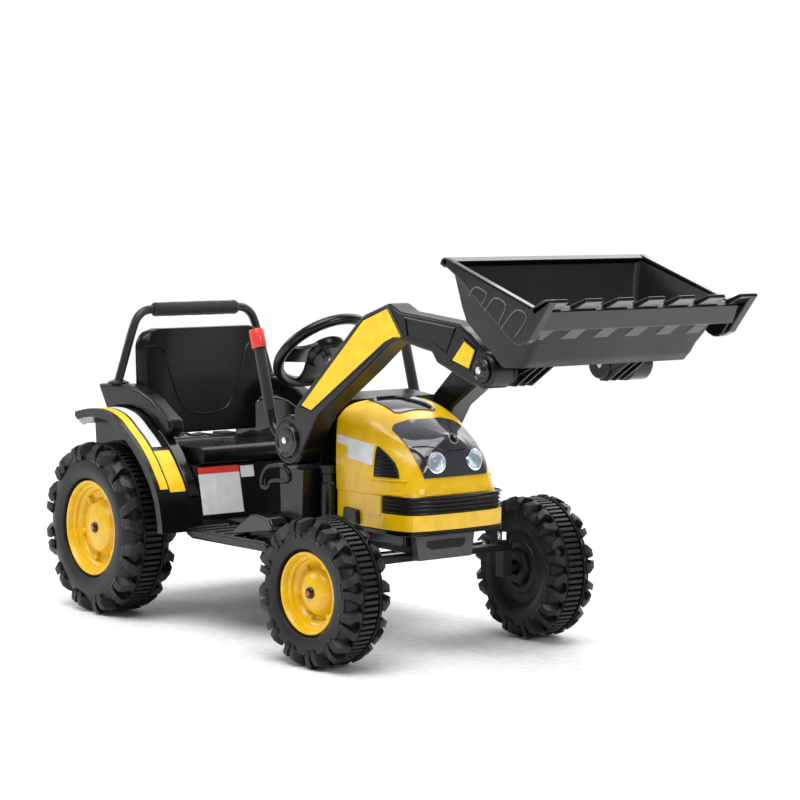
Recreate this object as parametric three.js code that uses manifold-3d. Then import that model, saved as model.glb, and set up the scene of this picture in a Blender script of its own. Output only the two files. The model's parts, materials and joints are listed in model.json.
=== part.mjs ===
// Child's ride-on digger with a front loader.
// Millimetres, +X forward, +Y to the rider's left, +Z up, floor at z = 0.
import * as THREE from 'three';
import { mergeVertices } from 'three/addons/utils/BufferGeometryUtils.js';
import Module from 'manifold-3d';

const wasm = await Module();
wasm.setup();

// Driving dimensions
const GAP = 0.35;            // clearance between pieces that touch
const WHEELBASE = 618;
const HALF_TRACK = 211.5;
const REAR = { r: 147, w: 92, rim: 82 };
const FRONT = { r: 115, w: 80, rim: 64 };
const TOE = 4;               // front wheels point slightly inwards, degrees
const KINGPIN_Y = 150;
const TRAY = { z0: 150, z1: 172, half: 105, nose: 54 };
const HOOD = { bottom: 253 };
const BOOM = { x: 452, z: 328, outer: 156, inner: 116, disc: 40 };
const TIP = { x: 929, z: 466, disc: 24 };
const WALL = 5;              // bucket wall
const SEAT = { half: 140, z: 262 };
const ARCH = [               // crown line of the rear fender
  [-150, 316], [-120, 329], [-82, 339], [-40, 347], [0, 349], [34, 344], [60, 334], [82, 320], [107, 304],
  [129, 286], [146, 270], [159, 254], [172, 238], [181, 222], [188, 206], [192, 190], [196, 172], [198, 156],
];
const AXLE = { x: WHEELBASE, z: 146 };
const TIE = { x: 575, z: 153, y: 146 };

// Materials
const mat = (name, color, roughness, metalness) => {
  const m = new THREE.MeshStandardMaterial({ color, roughness, metalness });
  m.name = name;
  return m;
};
const M = {
  black: () => mat('black_plastic', 0x141416, 0.42, 0),
  yellow: () => mat('yellow_plastic', 0xf2b400, 0.35, 0),
  tyre: () => mat('tyre', 0x1d1e20, 0.75, 0),
  steel: () => mat('steel', 0xb9bcc0, 0.35, 0.9),
  bar: () => mat('bar_paint', 0x1a1b1e, 0.4, 0.3),
  foam: () => mat('foam', 0x1b1c1e, 0.9, 0),
  smoke: () => mat('smoked_panel', 0x3a3c44, 0.12, 0),
  lamp: () => mat('lamp', 0xdcefff, 0.1, 0),
  red: () => mat('red_plastic', 0xd8332c, 0.4, 0),
  grey: () => mat('grey_plastic', 0x4a4b50, 0.5, 0),
  web: () => mat('webbing', 0x121214, 0.85, 0),
};

// Solids
const solid = (geometry) => {
  const g = geometry.clone();
  g.deleteAttribute('normal');
  g.deleteAttribute('uv');
  const m = mergeVertices(g, 1e-4);
  const vertProperties = new Float32Array(m.attributes.position.array);
  const triVerts = new Uint32Array(m.index.array);
  return new wasm.Manifold(new wasm.Mesh({ numProp: 3, vertProperties, triVerts }));
};

const geometryOf = (manifold) => {
  const mesh = manifold.getMesh();
  const g = new THREE.BufferGeometry();
  g.setAttribute('position', new THREE.BufferAttribute(new Float32Array(mesh.vertProperties), 3));
  g.setIndex(new THREE.BufferAttribute(new Uint32Array(mesh.triVerts), 1));
  g.computeVertexNormals();
  return g;
};

const shapeOf = (points) => new THREE.Shape(points.map(([a, b]) => new THREE.Vector2(a, b)));

const extrude = (points, depth) =>
  new THREE.ExtrudeGeometry(shapeOf(points), { depth, bevelEnabled: false, steps: 1 });

// Outline in X-Z, thickness along Y
const prismY = (points, y0, y1) => {
  const g = extrude(points, y1 - y0);
  g.rotateX(Math.PI / 2);
  g.translate(0, y1, 0);
  return solid(g);
};

// Outline in Y-Z, thickness along X
const prismX = (points, x0, x1) => {
  const g = extrude(points, x1 - x0);
  g.applyMatrix4(new THREE.Matrix4().set(0, 0, 1, x0, 1, 0, 0, 0, 0, 1, 0, 0, 0, 0, 0, 1));
  return solid(g);
};

// Outline in X-Y, thickness along Z
const prismZ = (points, z0, z1) => {
  const g = extrude(points, z1 - z0);
  g.translate(0, 0, z0);
  return solid(g);
};

const box = (x0, x1, y0, y1, z0, z1) => prismZ([[x0, y0], [x1, y0], [x1, y1], [x0, y1]], z0, z1);

const circle = (cx, cy, r, n = 24) =>
  Array.from({ length: n }, (_, i) => {
    const a = (2 * Math.PI * (i + 0.5)) / n;
    return [cx + r * Math.cos(a), cy + r * Math.sin(a)];
  });

const rodY = (x, z, r, y0, y1, n = 16) => prismY(circle(x, z, r, n), y0, y1);

// Rounds every corner of a closed outline
const rounded = (points, r, n = 3) => {
  const out = [];
  points.forEach((p, i) => {
    const a = points[(i + points.length - 1) % points.length];
    const b = points[(i + 1) % points.length];
    const ra = Math.min(r, Math.hypot(a[0] - p[0], a[1] - p[1]) * 0.45);
    const rb = Math.min(r, Math.hypot(b[0] - p[0], b[1] - p[1]) * 0.45);
    const from = [p[0] + ((a[0] - p[0]) * ra) / Math.hypot(a[0] - p[0], a[1] - p[1]),
      p[1] + ((a[1] - p[1]) * ra) / Math.hypot(a[0] - p[0], a[1] - p[1])];
    const to = [p[0] + ((b[0] - p[0]) * rb) / Math.hypot(b[0] - p[0], b[1] - p[1]),
      p[1] + ((b[1] - p[1]) * rb) / Math.hypot(b[0] - p[0], b[1] - p[1])];
    for (let k = 0; k <= n; k += 1) {
      const t = k / n;
      out.push([0, 1].map((j) => (1 - t) ** 2 * from[j] + 2 * t * (1 - t) * p[j] + t * t * to[j]));
    }
  });
  return out;
};

const arc = (cx, cz, r, from, to, n) =>
  Array.from({ length: n + 1 }, (_, i) => {
    const a = ((from + ((to - from) * i) / n) * Math.PI) / 180;
    return [cx + r * Math.cos(a), cz + r * Math.sin(a)];
  });

// Closed skin through rings of equal length, flat ends
const loft = (rings) => {
  const n = rings[0].length;
  const pos = rings.flat(2);
  const index = [];
  for (let k = 0; k + 1 < rings.length; k += 1) {
    for (let i = 0; i < n; i += 1) {
      const a = k * n + i;
      const b = k * n + ((i + 1) % n);
      index.push(a, b, b + n, a, b + n, a + n);
    }
  }
  const last = (rings.length - 1) * n;
  for (let i = 1; i + 1 < n; i += 1) {
    index.push(0, i + 1, i);
    index.push(last, last + i, last + i + 1);
  }
  const g = new THREE.BufferGeometry();
  g.setAttribute('position', new THREE.Float32BufferAttribute(pos, 3));
  g.setIndex(index);
  const mesh = new wasm.Mesh({
    numProp: 3,
    vertProperties: new Float32Array(pos),
    triVerts: new Uint32Array(index),
  });
  return new wasm.Manifold(mesh);
};

const tube = (points, r, sides, steps) => {
  const path = new THREE.CatmullRomCurve3(points.map((p) => new THREE.Vector3(...p)), false, 'centripetal');
  const section = shapeOf(circle(0, 0, r, sides));
  return solid(new THREE.ExtrudeGeometry(section, { steps, extrudePath: path, bevelEnabled: false }));
};

// Ring or disc turned about a line along Y; profile is [radius, y]
const turned = (profile, x, z, y, side, n = 36) => {
  const pts = profile.map(([r, h]) => new THREE.Vector2(r, h));
  const g = new THREE.LatheGeometry(pts, n);
  const m = solid(g);
  const facing = side < 0 ? m.mirror([0, 1, 0]) : m;
  return facing.translate([x, y, z]);
};

const part = new THREE.Group();
part.name = 'ride_on_digger';
const add = (name, manifold, material) => {
  const mesh = new THREE.Mesh(geometryOf(manifold), material);
  mesh.name = name;
  part.add(mesh);
};
const bothSides = (build) => {
  build(-1, 'right');
  build(1, 'left');
};
// A solid made on the right is mirrored for the left
const onSide = (manifold, side) => (side < 0 ? manifold : manifold.mirror([0, 1, 0]));

// Chassis
const chassisTray = () => {
  const outline = [
    [-120, TRAY.z0], [-11, TRAY.z0], [-11, TRAY.z0 + 10], [11, TRAY.z0 + 10],
    [11, TRAY.z0], [512, TRAY.z0], [512, TRAY.z1], [-120, TRAY.z1],
  ];
  const nose = box(500, 640, -TRAY.nose, TRAY.nose, 158.5, TRAY.z1);
  return prismY(outline, -TRAY.half, TRAY.half).add(nose);
};

const seatBase = () => {
  const z0 = TRAY.z1 + GAP;
  const rear = box(-110, 151, -146.8, 146.8, z0, SEAT.z - GAP);
  const front = prismY([[150, z0], [197, z0], [177, SEAT.z - GAP], [150, SEAT.z - GAP]], -150, 150);
  return rear.add(front);
};

const seatPan = () => {
  const outline = [
    [-25, 262], [180, 262], [186, 280], [178, 294], [140, 290], [20, 290], [-25, 294],
  ];
  return prismY(rounded(outline, 8), -SEAT.half, SEAT.half);
};

const seatBack = () => {
  const outline = [
    [-109, 298], [109, 298], [109, 353], [134, 364], [134, 482], [-134, 482], [-134, 364], [-109, 353],
  ];
  const panel = prismX(rounded(outline, 26), -38, -12);
  return panel.translate([12, 0, -298]).rotate([0, -2, 0]).translate([-12, 0, 298]);
};

const archUnder = (d) => ARCH.map(([x, z]) => {
  const r = Math.hypot(x, z - 150);
  return [(x * (r - d)) / r, 150 + ((z - 150) * (r - d)) / r];
});

const fender = () => {
  const under = archUnder(7);
  const band = (from, to, y0, y1) =>
    prismY([...ARCH.slice(from, to), ...under.slice(from, to).reverse()], y0, y1);
  const wall = prismY([...archUnder(1).filter(([, z]) => z > 208), [187, 200], [-140, 200]], -151, -147.2)
    .subtract(box(148.5, 300, -160, -140, 150, SEAT.z + 1));
  return band(2, ARCH.length, -229, -150.4).add(band(0, 3, -172, -150.4)).add(wall);
};

const sideHousing = () => {
  const foot = archUnder(-0.5).filter(([x]) => x > -115 && x < 125);
  return prismY([...foot, [127, 318], [120, 337], [64, 369], [22, 382], [-18, 388.5], [-112, 384]].reverse(), -168, -138);
};

const footboard = () => {
  const outline = [[205, 154], [222, 148], [440, 150], [440, 163], [432, 167], [205, 165]];
  return prismY(outline, -190, -TRAY.half - GAP);
};

const footPedal = () =>
  prismY([[338, 168.5], [446, 185], [450, 193], [442, 204], [402, 208], [388, 205], [336, 175]], -186, -152.5);

const dashConsole = () => {
  const outline = [
    [400, 172.4], [505, 172.4], [505, 392], [440, 398], [392, 372], [384, 330], [400, 260],
  ];
  return prismY(outline, -96, 96)
    .subtract(rodY(BOOM.x, BOOM.z, 10, -100, 100))
    .subtract(steeringAxis(rodZ(9.2, -140, 0)));
};

const boomTower = () => {
  const foot = prismY([[425, 172.4], [480, 172.4], [484, 283], [420, 283]], -150, -97);
  const tongue = prismY([[420, 270], [484, 270], [482, 330], [422, 330]], -115.5, -97);
  const eye = rodY(BOOM.x, BOOM.z, 30, -115.5, -97);
  return foot.add(tongue).add(eye).subtract(rodY(BOOM.x, BOOM.z, 8.6, -160, -90));
};

// Roll bar
const rollBar = () => {
  const half = [[160, 391.5], [149, 425], [127, 490], [112, 508], [92, 514], [60, 514]];
  const left = half.map(([y, z]) => [-54, y, z]);
  const right = [...left].reverse().map(([x, y, z]) => [x, -y, z]);
  return tube([...left, ...right], 7.5, 8, 32);
};

const rollBarGrip = () => {
  const ring = [[8.8, -84], [11.5, -86], [12.5, -83], [12.5, 83], [11.5, 86], [8.8, 84], [8.8, -84]];
  return turned(ring, -54, 514, 0, 1, 16);
};

// Hood and nose
// Half sections of the hood, from the lower edge up to the centre line
const HOOD_SECTIONS = [
  [513, [[106, 253], [107, 300], [105.5, 350], [99, 370], [70, 387], [0, 392.5]]],
  [545, [[105, 253], [106, 300], [104, 343], [96, 363], [68, 381], [0, 389]]],
  [575, [[104, 253], [104, 297], [101, 336], [92, 355], [66, 369], [0, 380]]],
  [602, [[102, 253], [101, 292], [97, 322], [86, 340], [67, 353], [0, 367]]],
  [630, [[98, 253], [96, 285], [90, 312], [79, 328], [60, 341], [0, 357]]],
  [655, [[93, 253], [88, 280], [80, 300], [70, 314], [54, 328], [0, 348]]],
  [668, [[88, 253], [80, 276], [73, 292], [64, 305], [48, 320], [0, 342]]],
  [676, [[83, 253], [72, 270], [66, 285], [57, 298], [42, 310], [0, 325]]],
  [680, [[80, 253], [68, 263], [62, 272], [53, 280], [38, 287], [0, 293]]],
  [683, [[76, 253], [66, 256], [58, 259], [48, 262], [34, 265], [0, 267]]],
];
const hoodBody = () =>
  loft(HOOD_SECTIONS.map(([x, half]) => {
    const left = half.map(([y, z]) => [x, y, z]);
    const right = half.slice(0, -1).reverse().map(([y, z]) => [x, -y, z]);
    return [...left, ...right];
  }));

// A panel let into a body: the tool that makes its seat, and the panel itself
const inset = (body, region, grown, shift) => ({
  tool: grown.subtract(body.translate(shift.map((v) => v * 1.08))),
  panel: region.intersect(body).subtract(body.translate(shift)),
});

const frontPanelOutline = (d) => {
  const half = [[62 + d, 281 - d], [67 + d, 315], [68 + d, 351 + d], [50, 362 + d]];
  return [...half, ...[...half].reverse().map(([y, z]) => [-y, z])];
};

const grilleOutline = (d) => [[604 - d, 281 - d], [654 + d, 281 - d], [643 + d, 304 + d], [604 - d, 327 + d]];
const windowOutline = (d) => [[522 - d, -44 - d], [580 + d, -40 - d], [580 + d, 40 + d], [522 - d, 44 + d]];

const noseOutline = (x0, d) => {
  const half = [[x0, 105 - d], [632, 104 - d], [670 - d, 97 - d], [685 - d, 88 - d], [692 - d, 60], [695 - d, 0]];
  return [...half.map(([x, y]) => [x, -y]), ...half.slice(0, 5).reverse()];
};

const bumper = () => prismZ(noseOutline(514, 0), 201.5, 226).add(box(514, 624, -104.9, 104.9, 220, 252.6));
const grilleBand = () => prismZ(noseOutline(624.4, 3), 226.4, 252.6);
const bumperTray = () => prismZ(noseOutline(514, 5), 192, 201.1).add(box(514, 640, -70, 70, TRAY.z1 + GAP, 193));
const nosePlate = () => prismX([[-54, 149.5], [54, 149.5], [60, 191.6], [-60, 191.6]], 640.4, 656);

const headlight = () => {
  const profile = [[0, 0], [16.8, 0], [16.8, 17], [12, 20], [0, 21.5]].map(([r, h]) => new THREE.Vector2(r, h));
  const g = new THREE.LatheGeometry(profile, 20);
  g.rotateZ(-Math.PI / 2);
  g.translate(664, -38, 306);
  return solid(g);
};
const headlightHole = () => prismX(circle(-38, 306, 17.3, 20), 663.5, 720);

// Steering
const STEER = { x: 335, z: 458, tilt: 42, r: 82 };
function rodZ(r, z0, z1, n = 14) {
  return prismZ(circle(0, 0, r, n), z0, z1);
}
function steeringAxis(m) {
  return m.rotate([0, -STEER.tilt, 0]).translate([STEER.x, 0, STEER.z]);
}
const steeringWheel = () => {
  const rim = solid(new THREE.TorusGeometry(STEER.r, 9, 8, 28));
  const hub = prismZ(rounded([[-30, -26], [22, -30], [22, 30], [-30, 26]], 12), -14, 6);
  const spoke = (angle) => box(10, STEER.r, -13, 13, -5, 3).rotate([0, 0, angle]);
  return steeringAxis(rim.add(hub).add(spoke(90)).add(spoke(-90)).add(spoke(180)));
};
const steeringShaft = () => steeringAxis(rodZ(8, -122, -14.4));

const frontAxleBeam = () => {
  const holes = [-1, 1].map((s) => prismZ(circle(AXLE.x, s * KINGPIN_Y, 6.6, 14), 100, 180));
  return box(608, 628, -160, 160, AXLE.z, AXLE.z + 10).subtract(holes[0]).subtract(holes[1]);
};

const knuckle = () => {
  const z = FRONT.r;
  const block = box(608, 628, -160, -142, z - 12, AXLE.z - GAP);
  const pin = prismZ(circle(WHEELBASE, -KINGPIN_Y, 6, 14), 120, 176);
  const stub = rodY(WHEELBASE, z, 6, -HALF_TRACK - 24, -150, 14);
  const arm = box(567, 624, -156, -144, 157, 163);
  return block.add(pin).add(stub).add(arm);
};

const tieRod = () => {
  const bar = rodY(TIE.x, TIE.z, 4, -TIE.y, TIE.y, 12);
  const eye = (s) => prismZ(circle(TIE.x, s * TIE.y, 8, 16), 149, 156.6);
  return bar.add(eye(-1)).add(eye(1)).trimByPlane([0, 0, -1], -156.6);
};

const toed = (m) =>
  m.translate([-WHEELBASE, KINGPIN_Y, 0]).rotate([0, 0, TOE]).translate([WHEELBASE, -KINGPIN_Y, 0]);

// Wheels, drawn for the right side with the outer face towards -Y
const tyre = ({ r, w, rim }) => {
  const h = w / 2;
  return [
    [14, 16 - h], [14, 10 - h], [rim - 6, 10 - h], [rim + 8, -h], [r - 14, -h], [r, 14 - h],
    [r, h - 14], [r - 14, h], [rim + 12, h], [rim + 1, h - 8], [rim + 1, 16 - h], [14, 16 - h],
  ];
};
const rimProfile = ({ w, rim }, bore) => {
  const h = w / 2;
  return [
    [bore, -0.2 * w], [28, -0.2 * w], [30, 4], [rim - 9, 4], [rim - 6, 16.5 - h], [rim, 16.5 - h],
    [rim, h - 9], [rim - 5, h - 9], [rim - 10, 13], [30, 0.32 * w], [bore, 0.32 * w], [bore, -0.2 * w],
  ];
};
const capProfile = ({ w }) => {
  const h = 0.32 * w + GAP;
  return [[0, h], [19, h], [19, h + 5], [13, h + 9], [0, h + 10]];
};

const wheelSet = (spec, x, bore) => {
  const put = (profile, n) => turned(profile, x, spec.r, -HALF_TRACK, -1, n);
  return { tyre: put(tyre(spec), 32), rim: put(rimProfile(spec, bore), 24), cap: put(capProfile(spec), 14) };
};

// Loader
const LEVER = { foot: [397, 356], top: [352.5, 499], y: 148.5 };
const leverPiece = (profile) => {
  const g = new THREE.LatheGeometry(profile.map(([r, h]) => new THREE.Vector2(r, h)), 12);
  g.rotateX(Math.PI / 2);
  const tilt = (Math.atan2(LEVER.top[0] - LEVER.foot[0], LEVER.top[1] - LEVER.foot[1]) * 180) / Math.PI;
  return solid(g).rotate([0, tilt, 0]).translate([LEVER.foot[0], -LEVER.y, LEVER.foot[1]]);
};
const leverRod = () => {
  const [x, z] = LEVER.foot;
  const elbow = tube([[x - 3, -LEVER.y, z + 10], [x, -LEVER.y, z], [408, -LEVER.y, 339], [424, -LEVER.y, 330]], 6, 8, 8);
  return leverPiece([[0, -2], [5.6, -2], [5.6, 143], [0, 143]]).add(elbow);
};

const armOutline = [
  [467, 366], [467, 381], [626, 518], [649, 534], [710, 554], [737, 542], [874, 530], [899, 517],
  [946, 480], [940, 445], [906, 443], [824, 471], [812, 486], [785, 490], [732, 500], [710, 493],
  [653, 453], [530, 373], [489, 314], [460, 320],
];
const arm = () =>
  prismY(armOutline, -BOOM.outer, -BOOM.inner)
    .add(rodY(BOOM.x, BOOM.z, BOOM.disc, -BOOM.outer, -BOOM.inner, 24))
    .add(rodY(TIP.x, TIP.z, TIP.disc, -BOOM.outer, -BOOM.inner))
    .add(leverRod())
    .subtract(rodY(BOOM.x, BOOM.z, 8.4, -170, -100))
    .subtract(rodY(TIP.x, TIP.z, 6.5, -170, -100));

const pivotShaft = () => rodY(BOOM.x, BOOM.z, 8, -BOOM.outer + 1, BOOM.outer - 1);
const pivotCap = () =>
  turned([[0, 0], [26, 0], [26, 3], [21, 5], [10, 5], [8, 8], [0, 8]], BOOM.x, BOOM.z, -BOOM.outer - GAP, -1, 20);

const leverGrip = () => leverPiece([[6.3, 16], [8.5, 16], [9, 20], [8.5, 118.6], [6.3, 118.6], [6.3, 16]]);
const leverKnob = () =>
  leverPiece([[6.3, 119], [12, 119], [12, 147], [10, 150], [0, 150], [0, 143.4], [6.3, 143.4], [6.3, 119]]);

const bucketRings = (d, lift) => {
  const levels = [
    [972 + d, 1020 - d, 472 + d, 474 + d, 160 - d], [950 + d, 1040 - d, 492 + d, 499 + d, 163 - d],
    [903 + d, 1062 - d, 535, 527, 170 - d], [893 + d, 1071 - d, 575, 540, 176 - d],
    [888 + d, 1083 - d, 619 + lift, 557 + lift, 186 - d],
  ];
  return levels.map(([xb, xf, zb, zf, h]) => [[xb, -h, zb], [xf, -h, zf], [xf, h, zf], [xb, h, zb]]);
};

const bucketShell = () => {
  const lug = (s) => {
    const web = [[909, 474], [935, 446], [992, 474], [965, 500], [934, 552], [922, 540]];
    const m = prismY(web, -112, -66).add(rodY(TIP.x, TIP.z, 22, -112, -66));
    return onSide(m, s);
  };
  const wing = (s) => {
    const plate = [[885, 617], [921, 597], [1044, 509], [1060, 508], [1076, 520], [1089, 545], [1083, 560], [889, 624]];
    const tip = [[1060, 508], [1078, 516], [1122, 572], [1079, 560]];
    return onSide(prismY(plate, -196, -183).add(prismY(tip, -200, -181)), s);
  };
  const rim = prismY([[882, 616], [893, 611], [899, 620], [889, 624]], -196, 196);
  return loft(bucketRings(0, 0))
    .add(lug(-1)).add(lug(1)).add(rim)
    .subtract(loft(bucketRings(WALL, 4)))
    .add(wing(-1)).add(wing(1))
    .subtract(rodY(TIP.x, TIP.z, 6.4, -200, 200));
};

const cuttingEdge = () => {
  const y = 180;
  const strip = prismY([[1079.5, 532], [1084, 530], [1101, 556], [1094, 562]], -y, y);
  const tooth = (c) => {
    const outline = [[c - 24, 548], [c + 24, 548], [c + 17, 572], [c - 17, 572]];
    return prismX(outline, 1080, 1130).intersect(prismY([[1090, 552], [1098, 549], [1126, 569], [1122, 574]], -y, y));
  };
  const centres = [-2, -1, 0, 1, 2].map((k) => k * 59);
  return centres.reduce((m, c) => m.add(tooth(c)), strip);
};

const bucketPin = () => {
  const head = turned([[0, 0], [22, 0], [22, 4], [17, 6], [8, 6], [6, 9], [0, 9]], TIP.x, TIP.z, -BOOM.outer - GAP, -1, 18);
  return head.add(rodY(TIP.x, TIP.z, 6, -BOOM.outer - 1, -68));
};

// Belt lying across the seat, its two straps meeting in a buckle
const seatBelt = () => {
  const top = [[-104, 300], [-86, 305], [-66, 299], [-46, 302], [-26, 297], [-10, 297]];
  const strap = prismX([...top, ...[...top].reverse().map(([y, z]) => [y, z - 2.6])], 26, 50);
  const buckle = box(22, 54, -14.5, 14.5, 293.6, 301);
  return buckle.add(strap).add(onSide(strap, 1));
};

const build = () => {
  add('chassis_tray', chassisTray(), M.black());
  add('seat_base', seatBase(), M.black());
  add('seat_pan', seatPan(), M.black());
  add('seat_back', seatBack(), M.black());
  add('dash_console', dashConsole(), M.black());
  add('rear_axle', rodY(0, REAR.r, 7, -HALF_TRACK - 28, HALF_TRACK + 28), M.steel());
  add('roll_bar', rollBar(), M.bar());
  add('roll_bar_grip', rollBarGrip(), M.foam());

  let hood = hoodBody();
  const whole = hoodBody();
  const front = inset(whole, prismX(frontPanelOutline(0), 603, 720), prismX(frontPanelOutline(0.4), 602.6, 720), [-5, 0, -5]);
  const top = inset(whole, prismZ(windowOutline(0), 370, 420), prismZ(windowOutline(0.4), 360, 420), [0, 0, -5]);
  hood = hood.subtract(front.tool).subtract(top.tool);
  let panel = front.panel;
  bothSides((side) => {
    const hole = onSide(headlightHole(), side);
    panel = panel.subtract(hole);
    hood = hood.subtract(hole);
    const shift = [-3, side < 0 ? 5 : -5, 0];
    const region = (d) => onSide(prismY(grilleOutline(d), -120, -70), side);
    const grille = inset(whole, region(0), region(0.4), shift);
    hood = hood.subtract(grille.tool);
    add(side < 0 ? 'side_grille_right' : 'side_grille_left', grille.panel, M.black());
  });
  add('hood', hood, M.yellow());
  add('headlight_panel', panel, M.smoke());
  add('hood_window', top.panel, M.smoke());
  add('bumper', bumper(), M.yellow());
  add('grille_band', grilleBand(), M.black());
  add('bumper_tray', bumperTray(), M.black());
  add('nose_plate', nosePlate(), M.grey());
  add('front_axle_beam', frontAxleBeam(), M.black());
  add('tie_rod', tieRod(), M.steel());
  add('steering_wheel', steeringWheel(), M.black());
  add('steering_shaft', steeringShaft(), M.steel());
  add('boom_pivot_shaft', pivotShaft(), M.steel());
  add('bucket_shell', bucketShell(), M.black());
  add('cutting_edge', cuttingEdge(), M.grey());
  add('foot_pedal', footPedal(), M.black());
  add('seat_belt', seatBelt(), M.web());

  bothSides((side, tag) => {
    const put = (name, m, material) => add(`${name}_${tag}`, onSide(m, side), material);
    put('fender', fender(), M.black());
    put('side_housing', sideHousing(), M.black());
    put('footboard', footboard(), M.black());
    put('boom_tower', boomTower(), M.black());
    put('headlight', headlight(), M.lamp());
    put('knuckle', toed(knuckle()), M.steel());
    put('arm', arm(), M.black());
    put('pivot_cap', pivotCap(), M.black());
    put('lever_grip', leverGrip(), M.foam());
    put('lever_knob', leverKnob(), M.red());
    put('bucket_pin', bucketPin(), M.steel());
    const rear = wheelSet(REAR, 0, 7.6);
    put('rear_tyre', rear.tyre, M.tyre());
    put('rear_rim', rear.rim, M.yellow());
    put('rear_cap', rear.cap, M.black());
    const fore = wheelSet(FRONT, WHEELBASE, 6.6);
    put('front_tyre', toed(fore.tyre), M.tyre());
    put('front_rim', toed(fore.rim), M.yellow());
    put('front_cap', toed(fore.cap), M.black());
  });
};

build();

// The whole model stands with its box centred over the origin
const bounds = new THREE.Box3().setFromObject(part);
const centre = bounds.getCenter(new THREE.Vector3());
part.children.forEach((mesh) => mesh.geometry.translate(-centre.x, -centre.y, -bounds.min.z));

export default part;
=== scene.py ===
import json
import math
import random

import bmesh
import bpy
from mathutils import Matrix, Vector
from mathutils.bvhtree import BVHTree


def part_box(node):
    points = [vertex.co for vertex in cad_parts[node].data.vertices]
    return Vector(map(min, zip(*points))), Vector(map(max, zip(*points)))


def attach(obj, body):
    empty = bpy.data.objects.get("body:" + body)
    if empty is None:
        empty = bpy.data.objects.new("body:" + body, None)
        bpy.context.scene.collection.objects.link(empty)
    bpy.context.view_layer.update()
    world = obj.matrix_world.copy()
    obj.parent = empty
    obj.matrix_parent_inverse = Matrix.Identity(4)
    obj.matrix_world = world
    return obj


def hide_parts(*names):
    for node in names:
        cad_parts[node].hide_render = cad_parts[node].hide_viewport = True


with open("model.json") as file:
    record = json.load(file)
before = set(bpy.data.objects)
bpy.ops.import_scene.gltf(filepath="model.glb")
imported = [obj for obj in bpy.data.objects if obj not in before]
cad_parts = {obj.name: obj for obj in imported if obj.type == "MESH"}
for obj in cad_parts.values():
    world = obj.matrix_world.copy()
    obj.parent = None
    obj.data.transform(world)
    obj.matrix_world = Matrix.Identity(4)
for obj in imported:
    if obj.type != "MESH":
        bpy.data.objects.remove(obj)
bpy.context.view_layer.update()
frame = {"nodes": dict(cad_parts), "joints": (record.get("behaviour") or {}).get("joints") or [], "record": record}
NODES = frame["nodes"]
BODY = {n: b for b, ns in frame["record"]["behaviour"]["bodies"].items() for n in ns}
SLOT = {s["node"]: s["material_slot"] for s in frame["record"]["subparts"]}
TAU = 2 * math.pi


# ---------------------------------------------------------------- places
def mid(node):
    lo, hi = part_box(node)
    return (lo + hi) / 2


X0 = mid("rear_axle").x  # the rear axle stands at zero in the working millimetres
BOOM = mid("pivot_cap_right")
TIP = mid("bucket_pin_right")


def at(x, y, z):
    """Working millimetres from the rear axle and the floor, to the row frame."""
    return Vector((X0 + x / 1000, y / 1000, z / 1000))


# ---------------------------------------------------------------- materials
MADE = {}


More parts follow.
